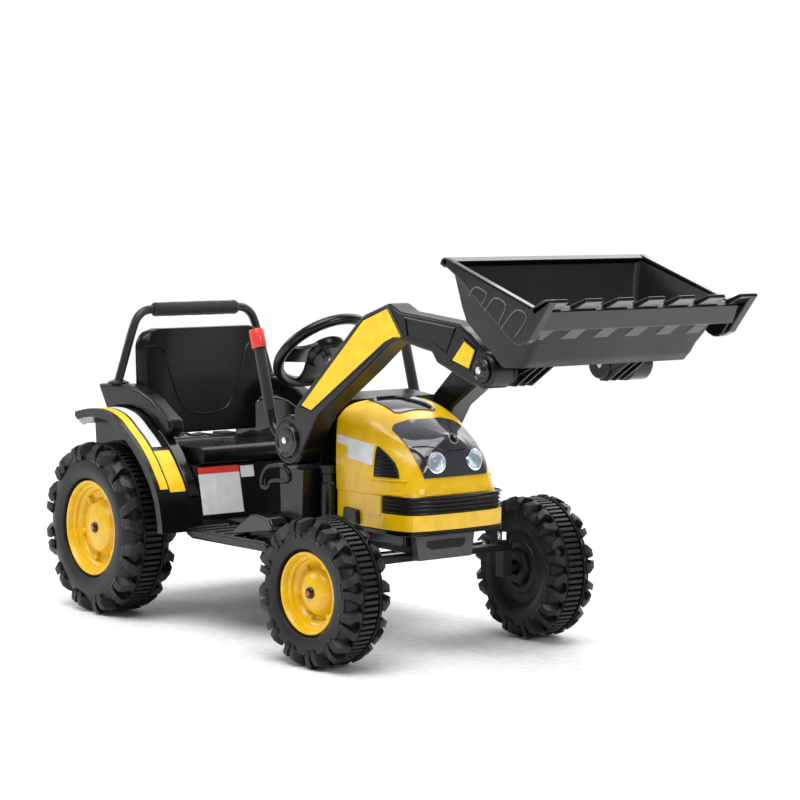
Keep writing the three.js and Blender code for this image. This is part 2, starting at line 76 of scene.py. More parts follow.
def material(name, color, rough, metal=0.0, grain=0.0, grain_scale=900.0, coat=0.0, vary=0.12, painted_top_light=0.0, sheen=0.0):
    """Procedural finish: fine moulded grain, uneven gloss, and a painted highlight: upward faces mixed toward a lighter
    warm grey in noisy patches, standing in for light from above.
    """
    if name in MADE:
        return MADE[name]
    m = bpy.data.materials.new(name)
    m.use_nodes = True
    t = m.node_tree
    b = t.nodes["Principled BSDF"]
    b.inputs["Metallic"].default_value = metal
    b.inputs["Coat Weight"].default_value = coat
    b.inputs["Coat Roughness"].default_value = 0.08
    b.inputs["Specular IOR Level"].default_value = 0.5 if max(color) > 0.2 or metal else 0.3
    b.inputs["Sheen Weight"].default_value = sheen
    coord = t.nodes.new("ShaderNodeTexCoord")

    def noise(scale, detail=4.0, rough_in=0.55):
        n = t.nodes.new("ShaderNodeTexNoise")
        n.inputs["Scale"].default_value = scale
        n.inputs["Detail"].default_value = detail
        n.inputs["Roughness"].default_value = rough_in
        t.links.new(coord.outputs["Object"], n.inputs["Vector"])
        return n.outputs["Fac"]

    def span(value, lo, hi, a=0.3, c=0.7):
        r = t.nodes.new("ShaderNodeMapRange")
        r.inputs["From Min"].default_value = a
        r.inputs["From Max"].default_value = c
        r.inputs["To Min"].default_value = lo
        r.inputs["To Max"].default_value = hi
        t.links.new(value, r.inputs["Value"])
        return r.outputs["Result"]

    big = noise(14.0)
    t.links.new(span(big, max(rough - vary * 0.5, 0.03), min(rough + vary * 0.5, 1.0)), b.inputs["Roughness"])
    mix = t.nodes.new("ShaderNodeMix")
    mix.data_type = "RGBA"
    mix.inputs[6].default_value = (*[c * 0.9 for c in color], 1)
    mix.inputs[7].default_value = (*[min(c * 1.08, 1) for c in color], 1)
    t.links.new(span(noise(55.0), 0, 1), mix.inputs[0])
    last = mix.outputs[2]
    # painted highlight: upward-facing faces are mixed toward a lighter warm grey in noisy patches, standing in for
    # light falling from above
    if painted_top_light:
        geo = t.nodes.new("ShaderNodeNewGeometry")
        axes = t.nodes.new("ShaderNodeSeparateXYZ")
        t.links.new(geo.outputs["Normal"], axes.inputs[0])
        up = span(axes.outputs["Z"], 0.0, painted_top_light, 0.2, 1.0)
        top_light_amount = t.nodes.new("ShaderNodeMath")
        top_light_amount.operation = "MULTIPLY"
        t.links.new(up, top_light_amount.inputs[0])
        t.links.new(span(noise(160.0), 0.2, 1.0), top_light_amount.inputs[1])
        over = t.nodes.new("ShaderNodeMix")
        over.data_type = "RGBA"
        # the lighter warm grey of the painted top highlight
        over.inputs[7].default_value = (0.42, 0.4, 0.37, 1)
        t.links.new(top_light_amount.outputs[0], over.inputs[0])
        t.links.new(last, over.inputs[6])
        last = over.outputs[2]
    t.links.new(last, b.inputs["Base Color"])
    if grain:
        bump = t.nodes.new("ShaderNodeBump")
        bump.inputs["Strength"].default_value = grain
        bump.inputs["Distance"].default_value = 0.0004
        t.links.new(noise(grain_scale, 3.0), bump.inputs["Height"])
        t.links.new(bump.outputs["Normal"], b.inputs["Normal"])
    MADE[name] = m
    return m


def emissive(name, color, strength):
    m = material(name, color, 0.2)
    b = m.node_tree.nodes["Principled BSDF"]
    b.inputs["Emission Color"].default_value = (*color, 1)
    b.inputs["Emission Strength"].default_value = strength
    return m


def glassy(name, color, alpha, rough=0.05):
    m = material(name, color, rough, coat=1.0, vary=0.02)
    m.node_tree.nodes["Principled BSDF"].inputs["Alpha"].default_value = alpha
    return m


# the painted_top_light values set how much painted highlight each finish gets on its upward faces
SATIN = material("satin_black", (0.0035, 0.0035, 0.004), 0.26, grain=0.2, coat=0.15, painted_top_light=0.012)
COARSE = material("coarse_black", (0.005, 0.005, 0.0055), 0.45, grain=0.5, painted_top_light=0.02)
GLOSS = material("gloss_black", (0.003, 0.003, 0.0035), 0.16, coat=0.4, painted_top_light=0.01)
BUCKET = material("bucket_black", (0.010, 0.010, 0.011), 0.4, grain=0.3, painted_top_light=0.012)
YELLOW = material("yellow", (0.83, 0.5, 0.0), 0.28, coat=0.35, grain=0.05, vary=0.08)
RIM = material("rim_yellow", (0.83, 0.5, 0.0), 0.32, coat=0.25, grain=0.1)
TYRE = material("tyre_grey", (0.011, 0.011, 0.0135), 0.42, grain=0.3, grain_scale=500.0, painted_top_light=0.03)
STEEL = material("steel", (0.62, 0.63, 0.65), 0.28, metal=1.0, grain=0.1, grain_scale=1500.0)
BAR = material("bar_paint", (0.02, 0.02, 0.023), 0.33, metal=0.2, grain=0.15)
FOAM = material("foam", (0.018, 0.018, 0.02), 0.92, grain=1.0, grain_scale=700.0, sheen=0.3)
SMOKE = material("smoked", (0.035, 0.037, 0.045), 0.08, coat=1.0, vary=0.04)
GREY = material("grey_plastic", (0.09, 0.09, 0.1), 0.42, grain=0.3)
RED = material("red_plastic", (0.75, 0.045, 0.035), 0.35, coat=0.2)
DECAL = material("decal_yellow", (0.95, 0.62, 0.005), 0.35, vary=0.05)
WHITE = material("label_white", (0.75, 0.75, 0.76), 0.4, vary=0.05)
WEB = material("webbing", (0.012, 0.012, 0.013), 0.8, grain=1.0, grain_scale=1800.0, sheen=0.3)
STRIPE = material("bucket_stripe", (0.11, 0.11, 0.12), 0.35, grain=0.1)
LED = emissive("led", (0.45, 0.74, 1.0), 1.5)
LENS = glassy("lens", (0.75, 0.85, 0.95), 0.35)
CHROME = material("chrome", (0.8, 0.82, 0.84), 0.12, metal=1.0)

BY_SLOT = {
    "frame_black": COARSE, "body_black": SATIN, "fender_black": SATIN, "grille_black": COARSE,
    "arm_black": SATIN, "bucket_black": BUCKET, "grey_plastic": GREY, "cap_black": GLOSS,
    "yellow_plastic": YELLOW, "tyre": TYRE, "bar_paint": BAR, "foam": FOAM, "steel": STEEL,
    "kingpin_steel": STEEL, "smoked_panel": SMOKE, "lamp": LENS, "red_plastic": RED, "webbing": WEB,
}
for node, obj in NODES.items():
    obj.data.materials.clear()
    obj.data.materials.append(BY_SLOT[SLOT[node]])


# ---------------------------------------------------------------- meshes
def finish_mesh(obj, body, mat, angle=32, bevel=0.0, segments=2, stands_for=(), thick=0.0):
    obj.data.materials.append(mat)
    bpy.context.scene.collection.objects.link(obj)
    for p in obj.data.polygons:
        p.use_smooth = True
    obj.data.set_sharp_from_angle(angle=math.radians(angle))
    if thick:
        s = obj.modifiers.new("thickness", "SOLIDIFY")
        s.thickness = thick
        s.offset = 0
    if bevel:
        m = obj.modifiers.new("edges", "BEVEL")
        m.width = bevel
        m.segments = segments
        m.limit_method = "ANGLE"
        m.angle_limit = math.radians(angle)
        m.harden_normals = True
    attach(obj, body)
    if stands_for:
        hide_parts(*stands_for)
    return obj


def from_data(name, verts, faces, body, mat, **rest):
    mesh = bpy.data.meshes.new(name)
    mesh.from_pydata([tuple(v) for v in verts], [], faces)
    b = bmesh.new()
    b.from_mesh(mesh)
    bmesh.ops.remove_doubles(b, verts=b.verts, dist=1e-6)
    bmesh.ops.recalc_face_normals(b, faces=b.faces)
    b.to_mesh(mesh)
    b.free()
    return finish_mesh(bpy.data.objects.new(name, mesh), body, mat, **rest)


def soften(node, bevel=0.0015, segments=3, mat=None, angle=32):
    """The CAD node's own shape with moulded edges."""
    mesh = NODES[node].data.copy()
    mesh.materials.clear()
    b = bmesh.new()
    b.from_mesh(mesh)
    bmesh.ops.remove_doubles(b, verts=b.verts, dist=2e-6)
    bmesh.ops.dissolve_limit(b, angle_limit=math.radians(1.5), verts=b.verts, edges=b.edges)
    bmesh.ops.recalc_face_normals(b, faces=b.faces)
    b.to_mesh(mesh)
    b.free()
    obj = bpy.data.objects.new(node + "_look", mesh)
    return finish_mesh(obj, BODY[node], mat or BY_SLOT[SLOT[node]], angle=angle, bevel=bevel, segments=segments,
                       stands_for=(node,))


def revolve(profile, n=72):
    """Verts and faces of a closed ring of (radius, height) turned about local Z."""
    k = len(profile)
    verts = [(r * math.cos(TAU * i / n), r * math.sin(TAU * i / n), h) for i in range(n) for r, h in profile]
    faces = [
        (i * k + j, ((i + 1) % n) * k + j, ((i + 1) % n) * k + (j + 1) % k, i * k + (j + 1) % k)
        for i in range(n) for j in range(k)
    ]
    return verts, faces


def turned(name, profile, where, matrix, body, mat, n=72, **rest):
    verts, faces = revolve(profile, n)
    return from_data(name, [matrix @ Vector(v) + where for v in verts], faces, body, mat, **rest)


def block(x0, x1, y0, y1, z0, z1):
    v = [(x, y, z) for z in (z0, z1) for y in (y0, y1) for x in (x0, x1)]
    f = [(0, 2, 3, 1), (4, 5, 7, 6), (0, 1, 5, 4), (2, 6, 7, 3), (0, 4, 6, 2), (1, 3, 7, 5)]
    return v, f


def join(parts):
    verts, faces = [], []
    for v, f in parts:
        faces += [tuple(i + len(verts) for i in q) for q in f]
        verts += [Vector(p) for p in v]
    return verts, faces


def sweep(path, radius, sides=16, closed=False):
    """A round tube along points, its ends capped."""
    pts = [Vector(p) for p in path]
    n = len(pts)
    verts, faces = [], []
    up = None
    for i, p in enumerate(pts):
        a = pts[i - 1] if i or closed else p
        c = pts[(i + 1) % n] if i + 1 < n or closed else p
        d = (c - a).normalized()
        if up is None:
            up = d.orthogonal().normalized()
        up = (up - up.dot(d) * d).normalized()
        side = d.cross(up)
        verts += [p + radius * (math.cos(TAU * j / sides) * up + math.sin(TAU * j / sides) * side)
                  for j in range(sides)]
    for i in range(n if closed else n - 1):
        for j in range(sides):
            k, i2 = (j + 1) % sides, (i + 1) % n
            faces.append((i * sides + j, i * sides + k, i2 * sides + k, i2 * sides + j))
    if not closed:
        faces.append(tuple(range(sides))[::-1])
        faces.append(tuple((n - 1) * sides + j for j in range(sides)))
    return verts, faces


def smooth_path(points, steps=8):
    pts = [Vector(p) for p in points]
    out = []
    for i in range(len(pts) - 1):
        p0, p1, p2, p3 = pts[max(i - 1, 0)], pts[i], pts[i + 1], pts[min(i + 2, len(pts) - 1)]
        for k in range(steps):
            t = k / steps
            out.append(0.5 * (2 * p1 + (p2 - p0) * t + (2 * p0 - 5 * p1 + 4 * p2 - p3) * t * t
                              + (3 * p1 - p0 - 3 * p2 + p3) * t ** 3))
    return out + [pts[-1]]


def slab(outline, y0, y1):
    """Outline of (x, z) in working millimetres, thick from y0 to y1."""
    n = len(outline)
    verts = [at(x, y, z) for y in (y0, y1) for x, z in outline]
    faces = [tuple(range(n)), tuple(range(2 * n - 1, n - 1, -1))]
    faces += [(i, (i + 1) % n, n + (i + 1) % n, n + i) for i in range(n)]
    return verts, faces


SIDES = (("right", -1), ("left", 1))
OUT = {-1: Matrix(((1, 0, 0), (0, 0, -1), (0, 1, 0))), 1: Matrix(((1, 0, 0), (0, 0, 1), (0, -1, 0)))}


# ---------------------------------------------------------------- wheels
def tyre_mesh(radius, width, rim):
    """Carcass, a ribbed centre band, a thin ridge beside it, and paired lugs over both shoulders."""
    h = width / 2
    base = radius - 0.013
    side = [(rim + 0.0006, -h + 0.009), (rim + 0.004, -h + 0.003), (rim + 0.016, -h), (rim + 0.03, -h + 0.0005),
            (base - 0.01, -h + 0.004), (base - 0.003, -h + 0.009), (base, -h + 0.016)]
    outer = [(r, -z) for r, z in reversed(side)]
    inner = [(0.013, -h + 0.012), (0.030, -h + 0.012), (0.032, -h + 0.009), (rim * 0.66, -h + 0.010),
             (rim * 0.69, -h + 0.0125), (rim - 0.006, -h + 0.0125), (rim - 0.003, -h + 0.008)]
    well = [(rim + 0.0006, h - 0.02), (rim + 0.0006, -h + 0.0165), (0.013, -h + 0.0165)]
    profile = inner + side[1:] + outer[:-1] + well
    parts = [revolve(profile, 96)]
    band = 0.17 * width
    ribs = 84 if radius > 0.13 else 72
    for i in range(ribs):
        a0, a1 = TAU * (i + 0.1) / ribs, TAU * (i + 0.68) / ribs
        v = [(r * math.cos(a), r * math.sin(a), z) for z in (-band, band)
             for r in (base - 0.002, radius - 0.0035) for a in (a0, a1)]
        parts.append((v, [(0, 2, 3, 1), (4, 5, 7, 6), (0, 1, 5, 4), (2, 6, 7, 3), (0, 4, 6, 2), (1, 3, 7, 5)]))
    for s in (-1, 1):
        z = s * (band + 0.0035)
        ring = [(base - 0.002, z - 0.0014), (radius - 0.0018, z - 0.001), (radius - 0.0018, z + 0.001),
            (base - 0.002, z + 0.0014)]
        parts.append(revolve(ring, 96))
        if s < 0:
            boss = [(0.0135, -h + 0.002), (0.027, -h + 0.002), (0.030, -h + 0.0065), (0.030, -h + 0.011),
                (0.0135, -h + 0.011)]
            parts.append(revolve(boss, 6))
        for pair in range(12):
            for half in (0, 1):
                parts.append(lug(s, pair * 30 + half * 12.5 + (s + 1) * 4, radius, h, base, band, half))
    return join(parts)


def lug(s, degrees, radius, h, base, band, half):
    """One chunky block: from beside the ridge, out over the shoulder and a little down the wall."""
    mid_a = math.radians(degrees)
    wide = math.radians(8.6)
    lean = (1 if half else -1) * math.radians(1.6)
    line = [(band + 0.006, radius - 0.0006, base - 0.004, 0.0, 1.0), (0.3 * 2 * h, radius, base - 0.005, 0.25, 1.0),
            (h - 0.011, radius - 0.0012, base - 0.008, 0.5, 0.9), (h - 0.001, radius - 0.006, base - 0.012, 0.75, 0.86),
            (h + 0.0025, radius - 0.018, radius - 0.024, 0.9, 0.74),
            (h + 0.0006, radius - 0.029, radius - 0.031, 1.0, 0.6)]
    verts, faces = [], []
    for z, top, low, t, w in line:
        a = mid_a + lean * math.sin(math.pi * t * 1.6) * 1.5
        for r, aa in ((low, a - wide * w / 2 - 0.01), (top, a - wide * w / 2 + 0.012), (top, a + wide * w / 2 - 0.012),
            (low, a + wide * w / 2 + 0.01)):
            verts.append((r * math.cos(aa), r * math.sin(aa), s * z))
    n = len(line)
    for i in range(n - 1):
        for j in range(4):
            faces.append((i * 4 + j, i * 4 + (j + 1) % 4, i * 4 + 4 + (j + 1) % 4, i * 4 + 4 + j))
    faces += [(0, 1, 2, 3), tuple(n * 4 - 4 + j for j in (3, 2, 1, 0))]
    return verts, faces


def rim_mesh(rim, width):
    """Stepped dish with a domed hub; local +Z is the outer face."""
    h = width / 2 - 0.009
    hub = 0.32 * width
    p = [(0.0075, -0.2 * width), (0.028, -0.2 * width), (rim * 0.5, 0.0), (rim - 0.007, 0.002),
        (rim - 0.005, -h + 0.0085),
         (rim, -h + 0.0085), (rim, h), (rim - 0.0015, h + 0.002), (rim - 0.005, h + 0.0015), (rim - 0.0065, h - 0.001),
         (rim - 0.008, h - 0.007), (rim - 0.0125, h - 0.009), (rim - 0.0135, h - 0.014), (rim - 0.019, h - 0.017),
         (rim - 0.021, h - 0.023), (rim * 0.62, h - 0.025), (rim * 0.56, h - 0.021), (rim * 0.49, h - 0.012),
         (rim * 0.4, hub - 0.003), (rim * 0.3, hub), (0.0075, hub)]
    parts = [revolve(p, 96)]
    for i in range(6):
        a = TAU * (i + 0.2) / 6
        c = Vector((math.cos(a), math.sin(a), 0)) * rim * 0.69
        ring = [(0.0001, h - 0.03), (0.0062, h - 0.03), (0.0056, h - 0.0175), (0.0046, h - 0.0165),
            (0.0001, h - 0.0165)]
        v, f = revolve(ring, 20)
        parts.append(([Vector(q) + c for q in v], f))
    return join(parts)


def wheel(end, tag, s):
    rim_lo, rim_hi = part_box(f"{end}_rim_{tag}")
    tyre_lo, tyre_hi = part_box(f"{end}_tyre_{tag}")
    centre = (tyre_lo + tyre_hi) / 2
    radius = (tyre_hi.z - tyre_lo.z) / 2
    rim = (rim_hi.z - rim_lo.z) / 2
    width = 0.092 if end == "rear" else 0.080
    joint = next(j for j in frame["joints"] if j["child"] == f"wheel_{end}_{tag}")
    axis = Vector(joint["axis"]) * s
    turn = Vector((0, 0, 1)).rotation_difference(axis).to_matrix()
    body = f"wheel_{end}_{tag}"
    centre = Vector(joint["pos_m"])
    v, f = tyre_mesh(radius, width, rim)
    from_data(f"{end}_tyre_{tag}_look", [turn @ p + centre for p in v], f, body, TYRE, angle=38, bevel=0.0008,
              segments=1, stands_for=(f"{end}_tyre_{tag}",))
    v, f = rim_mesh(rim, width)
    from_data(f"{end}_rim_{tag}_look", [turn @ p + centre for p in v], f, body, RIM, angle=45,
              stands_for=(f"{end}_rim_{tag}",))
    hub = 0.32 * width
    cap = [(0.0001, hub - 0.001), (0.0085 if end == "rear" else 0.008, hub - 0.001), (0.009, hub + 0.001),
        (0.0085, hub + 0.0035),
           (0.006, hub + 0.005), (0.0001, hub + 0.0055)]
    turned(f"{end}_cap_{tag}_look", cap, centre, turn, body, GLOSS, n=40, angle=60, stands_for=(f"{end}_cap_{tag}",))
    dot = [(0.0001, hub + 0.0052), (0.0036, hub + 0.0052), (0.0036, hub + 0.0059), (0.0001, hub + 0.0059)]
    turned(f"{end}_cap_dot_{tag}", dot, centre, turn, body, RED, n=24)


for tag, s in SIDES:
    wheel("rear", tag, s)
    wheel("front", tag, s)


# ---------------------------------------------------------------- body shell
ARCH = smooth_path([Vector(q) for q in (
    (-150, 0, 316), (-120, 0, 329), (-82, 0, 339), (-40, 0, 347), (0, 0, 349), (34, 0, 344), (60, 0, 334), (82, 0, 320),
    (107, 0, 304), (129, 0, 286), (146, 0, 270), (159, 0, 254), (172, 0, 238), (181, 0, 222), (188, 0, 206),
    (192, 0, 190),
    (196, 0, 172), (198, 0, 156))], 3)


def crown(x0, x1, lift):
    """The fender's arch line between two places, lifted outwards."""
    out = []
    for q in ARCH:
        if x0 - 0.01 <= q.x <= x1 + 0.01:
            d = Vector((q.x, 0, q.z - 150)).normalized()
            out.append((q.x + d.x * lift, q.z + d.z * lift))
    return out


def ribbon(x0, x1, low, high, y0, y1):
    """Closed band of even thickness along the arch."""
    top, under = crown(x0, x1, high), crown(x0, x1, low)
    n = len(top)
    v, _ = slab(top + under[::-1], y0, y1)
    k = 2 * n
    f = [(i, (i + 1) % k, k + (i + 1) % k, k + i) for i in range(k)]
    for b in (0, k):
        f += [(b + i, b + i + 1, b + k - 2 - i, b + k - 1 - i) for i in range(n - 1)]
    return v, f


def fender(tag, s):
    def y(a, b):
        return (s * b, s * a) if s < 0 else (a, b)

    parts = [ribbon(-82, 198, -7, 0, *y(150.4, 229)), ribbon(-150, -80, -7, 0, *y(150.4, 172)),
             ribbon(-82, 198, -14, 0.8, *y(225, 231))]
    tip = [(-82, 231), (-82, 172), (-150, 172), (-150, 176)]
    v = [at(x, s * b, (339 if x > -100 else 316) - d) for d in (0, 8) for x, b in tip]
    parts.append((v, [(0, 1, 2, 3), (7, 6, 5, 4), (0, 4, 5, 1), (1, 5, 6, 2), (2, 6, 7, 3), (3, 7, 4, 0)]))
    wall = [q for q in crown(-150, 160, -1) if q[0] < 149] + [(149, 200), (-140, 200)]
    parts.append(slab(wall, *y(147.2, 151)))
    v, f = join(parts)
    from_data(f"fender_{tag}_look", v, f, f"chassis", SATIN, bevel=0.0015, segments=2, stands_for=(f"fender_{tag}",))
    marks = (("stripe_outer", -81, 179, 207, 222, DECAL), ("stripe_inner", 128, 182, 174, 204, DECAL),
             ("band", -50, 124, 184, 202, WHITE))
    for name, x0, x1, ya, yb, mat in marks:
        from_data(f"fender_{name}_{tag}", *ribbon(x0, x1, -1, 0.9, *y(ya, yb)), "chassis", mat)
    from_data(f"fender_rib_{tag}", *ribbon(84, 186, -1, 4, *y(151, 172)), "chassis", GLOSS, bevel=0.003, segments=3)


for tag, s in SIDES:
    fender(tag, s)
    soften(f"side_housing_{tag}", 0.006, 4)
    soften(f"footboard_{tag}", 0.004, 3)
    soften(f"boom_tower_{tag}", 0.002, 2)
    for i in range(7):
        x = 222 + i * 29
        v, f = slab([(x, 166.2), (x + 9, 166.2), (x + 7, 168.4), (x + 2, 168.4)],
            *((-184, -120) if s < 0 else (120, 184)))
        from_data(f"footboard_rib_{tag}_{i}", v, f, "chassis", SATIN, bevel=0.0006)

soften("chassis_tray", 0.003)
soften("seat_base", 0.005, 4)
soften("seat_pan", 0.009, 5)
soften("dash_console", 0.007, 4)
soften("bumper_tray", 0.003)
soften("nose_plate", 0.003, mat=GREY)
soften("grille_band", 0.0015, mat=COARSE)
soften("bumper", 0.003, 4)
soften("foot_pedal", 0.004, 4, mat=GLOSS)
soften("front_axle_beam", 0.003)
soften("tie_rod", 0.001)
soften("steering_shaft", 0.001)
soften("seat_belt", 0.0009, 2)


# ---------------------------------------------------------------- seat
def seat_back():
    lo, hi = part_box("seat_back")
    x1, z0, z1 = hi.x, lo.z, hi.z
    half = hi.y
    lean = math.tan(math.radians(2))
    rows = []
    cols = 28
    n = 30
    for i in range(n + 1):
        t = i / n
        z = z0 + (z1 - z0) * t
        w = half * (
            0.83 + 0.17 * min(1, max(0, (z - z0) / (z1 - z0) - 0.24) / 0.1) if z < z0 + 0.34 * (z1 - z0) else 1.0
        )
        top = z1 - z
        if top < 0.034:
            w = half - 0.034 + math.sqrt(max(0.034 ** 2 - (0.034 - top) ** 2, 1e-8))
        rows.append((z, w))
    verts, faces = [], []
    for z, w in rows:
        for j in range(cols + 1):
            u = -1 + 2 * j / cols
            y = u * w
            d = 0.006 * (abs(y) / half) ** 4
            across = max(0, 1 - (y / (half * 0.62)) ** 2)
            dish = 0.004 * across * math.sin(math.pi * min(1, max(0, (z - z0) / (z1 - z0))))
            edge = 0.009 * max(0, abs(u) - 0.93) / 0.07
            verts.append((x1 - lean * (z - z0) - 0.004 - d * 0.4 - dish - edge, y, z))
    for i in range(n):
        for j in range(cols):
            a = i * (cols + 1) + j
            faces.append((a, a + 1, a + cols + 2, a + cols + 1))
    back = len(verts)
    for z, w in rows:
        for j in range(cols + 1):
            verts.append((x1 - lean * (z - z0) - 0.024, (-1 + 2 * j / cols) * w, z))
    for i in range(n):
        for j in range(cols):
            a = back + i * (cols + 1) + j
            faces.append((a, a + cols + 1, a + cols + 2, a + 1))
    ring = [j for j in range(cols + 1)] + [i * (cols + 1) + cols for i in range(1, n + 1)]
    ring += [n * (cols + 1) + j for j in range(cols - 1, -1, -1)] + [i * (cols + 1) for i in range(n - 1, 0, -1)]
    for a, b in zip(ring, ring[1:] + ring[:1]):
        faces.append((a, b, b + back, a + back))
    from_data("seat_back_look", verts, faces, "chassis", SATIN, angle=50, bevel=0.004, segments=4,
        stands_for=("seat_back",))

    def front(y, z):
        return Vector((x1 - lean * (z - z0) - 0.0045 - 0.004 * max(0, 1 - (y / (half * 0.62)) ** 2)
                       * math.sin(math.pi * (z - z0) / (z1 - z0)), y, z))

    line = [(-0.128, 0.452), (-0.1, 0.452), (-0.085, 0.44), (-0.072, 0.395), (-0.05, 0.345), (-0.02, 0.33),
            (0.02, 0.33), (0.05, 0.345), (0.072, 0.395), (0.085, 0.44), (0.1, 0.452), (0.128, 0.452)]
    path = [front(y, z) for y, z in line]
    v, f = sweep(smooth_path(path, 6), 0.0016, 10)
    from_data("seat_back_contour", v, f, "chassis", SATIN)


seat_back()


# ---------------------------------------------------------------- roll bar, levers
def roll_bar():
    half = [(160, 390), (150, 420), (137, 460), (127, 488), (119, 502), (107, 511), (92, 514), (60, 514)]
    left = [at(-54, y, z) for y, z in half]
    path = left + [Vector((p.x, -p.y, p.z)) for p in reversed(left)]
    v, f = sweep(smooth_path(path, 6), 0.0075, 20)
    from_data("roll_bar_look", v, f, "chassis", BAR, stands_for=("roll_bar",))
    lo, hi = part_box("roll_bar_grip")
    c = (lo + hi) / 2
    rnd = random.Random(4)
    ring = [(0.0079, -0.086), (0.0112, -0.0865), (0.0124, -0.084)]
    ring += [(0.0124 + rnd.uniform(-0.00025, 0.00025), -0.08 + i * 0.005) for i in range(33)]
    ring += [(0.0124, 0.084), (0.0112, 0.0865), (0.0079, 0.086)]
    turned("roll_bar_grip_look", ring, c, OUT[1], "chassis", FOAM, n=40, angle=50, stands_for=("roll_bar_grip",))
    for tag, s in SIDES:
        foot = [(0.0078, -0.002), (0.019, -0.002), (0.019, 0.001), (0.012, 0.004), (0.0078, 0.005)]
        turned(f"roll_bar_foot_{tag}", foot, at(-54, s * 160, 389), Matrix.Identity(3), "chassis", SATIN, n=32)


roll_bar()


def lever(tag, s):
    a, b = at(397, s * 148.5, 356), at(352.5, s * 148.5, 499)
    d = (b - a).normalized()
    turn = Vector((0, 0, 1)).rotation_difference(d).to_matrix()
    g0, g1 = 0.016, 0.1185
    grip = [(0.0063, g0), (0.0082, g0), (0.009, g0 + 0.003), (0.0086, g1 - 0.001), (0.0063, g1 - 0.001)]
    turned(f"lever_grip_{tag}_look", grip, a, turn, "boom", FOAM, n=36, angle=50, stands_for=(f"lever_grip_{tag}",))
    knob = [(0.0001, 0.1185), (0.0112, 0.1185), (0.012, 0.12), (0.012, 0.1475), (0.0112, 0.1492), (0.0001, 0.15)]
    turned(f"lever_knob_{tag}_look", knob, a, turn, "boom", RED, n=40, angle=50, stands_for=(f"lever_knob_{tag}",))
    path = [a + d * 0.02, a, at(403, s * 148.5, 345), at(414, s * 148.5, 335), at(426, s * 146, 330)]
    v, f = sweep(smooth_path(path, 6), 0.0075, 20)
    from_data(f"lever_rod_{tag}", v, f, "boom", SATIN)


for tag, s in SIDES:
    lever(tag, s)


# ---------------------------------------------------------------- steering wheel
def steering_wheel():
    joint = next(j for j in frame["joints"] if j["child"] == "steering")
    c = Vector(joint["pos_m"])
    z = Vector(joint["axis"]).normalized()
    y = Vector((0, 1, 0))
    x = y.cross(z)
    turn = Matrix((x, y, z)).transposed()
    big, thin = 0.082, 0.0092
    v, f = [], []
    n, k = 96, 18
    for i in range(n):
        a = TAU * i / n
        for j in range(k):
            b = TAU * j / k
            r = big + thin * math.cos(b)
            v.append((r * math.cos(a), r * math.sin(a), thin * 0.95 * math.sin(b)))
    f = [(i * k + j, ((i + 1) % n) * k + j, ((i + 1) % n) * k + (j + 1) % k, i * k + (j + 1) % k)
         for i in range(n) for j in range(k)]
    parts = [(v, f)]
    hub = [(0.0001, -0.014), (0.026, -0.014), (0.034, -0.006), (0.036, 0.002), (0.03, 0.006), (0.0001, 0.0075)]
    parts.append(revolve(hub, 64))
    for turned_by in (90, -90, 180):
        m = Matrix.Rotation(math.radians(turned_by), 3, "Z")
        w0, w1 = (0.02, 0.015)
        sp = []
        for q in range(9):
            t = q / 8
            r = 0.026 + (big - 0.026) * t
            w = w0 + (w1 - w0) * t + 0.004 * (2 * t - 1) ** 2
            zz = -0.001 - 0.003 * math.sin(math.pi * t)
            for yy, dz in ((-w, -0.004), (w, -0.004), (w, 0.003), (-w, 0.003)):
                sp.append(m @ Vector((r, yy, zz + dz)))
        fs = [(i * 4 + j, i * 4 + (j + 1) % 4, i * 4 + 4 + (j + 1) % 4, i * 4 + 4 + j)
              for i in range(8) for j in range(4)]
        parts.append((sp, fs + [(0, 1, 2, 3), (35, 34, 33, 32)]))
    v, f = join(parts)
    from_data("steering_wheel_look", [turn @ p + c for p in v], f, "steering", SATIN, angle=40, bevel=0.001,
              segments=2, stands_for=("steering_wheel",))


steering_wheel()


# ---------------------------------------------------------------- hood
SECTIONS = [
    (513, ((106, 253), (107, 300), (105.5, 350), (99, 370), (70, 387), (0, 392.5))),
    (545, ((105, 253), (106, 300), (104, 343), (96, 363), (68, 381), (0, 389))),
    (575, ((104, 253), (104, 297), (101, 336), (92, 355), (66, 369), (0, 380))),
    (602, ((102, 253), (101, 292), (97, 322), (86, 340), (67, 353), (0, 367))),
    (630, ((98, 253), (96, 285), (90, 312), (79, 328), (60, 341), (0, 357))),
    (655, ((93, 253), (88, 280), (80, 300), (70, 314), (54, 328), (0, 348))),
    (668, ((88, 253), (80, 276), (73, 292), (64, 305), (48, 320), (0, 342))),
    (676, ((83, 253), (72, 270), (66, 285), (57, 298), (42, 310), (0, 325))),
    (680, ((80, 253), (68, 263), (62, 272), (53, 280), (38, 287), (0, 293))),
    (683, ((76, 253), (66, 256), (58, 259), (48, 262), (34, 265), (0, 267))),
]


def hood_mesh():
    rows = []
    for x, half in SECTIONS:
        line = [Vector((x, y, z)) for y, z in half]
        line += [Vector((x, -y, z)) for y, z in reversed(half[:-1])]
        rows.append(smooth_path(line, 6))
    k = len(rows[0])
    columns = [smooth_path([row[j] for row in rows], 4) for j in range(k)]
    n = len(columns[0])
    verts = [at(*columns[j][i]) for i in range(n) for j in range(k)]
    faces = [(i * k + j, i * k + j + 1, i * k + k + j + 1, i * k + k + j) for i in range(n - 1) for j in range(k - 1)]
    faces += [(i * k + k - 1, i * k, i * k + k, i * k + 2 * k - 1) for i in range(n - 1)]
    faces.append(tuple(range(k))[::-1])
    faces.append(tuple((n - 1) * k + j for j in range(k)))
    return verts, faces


hv, hf = hood_mesh()
from_data("hood_look", hv, hf, "chassis", YELLOW, angle=45, stands_for=("hood",))
HOOD = BVHTree.FromPolygons([tuple(v) for v in hv], hf)


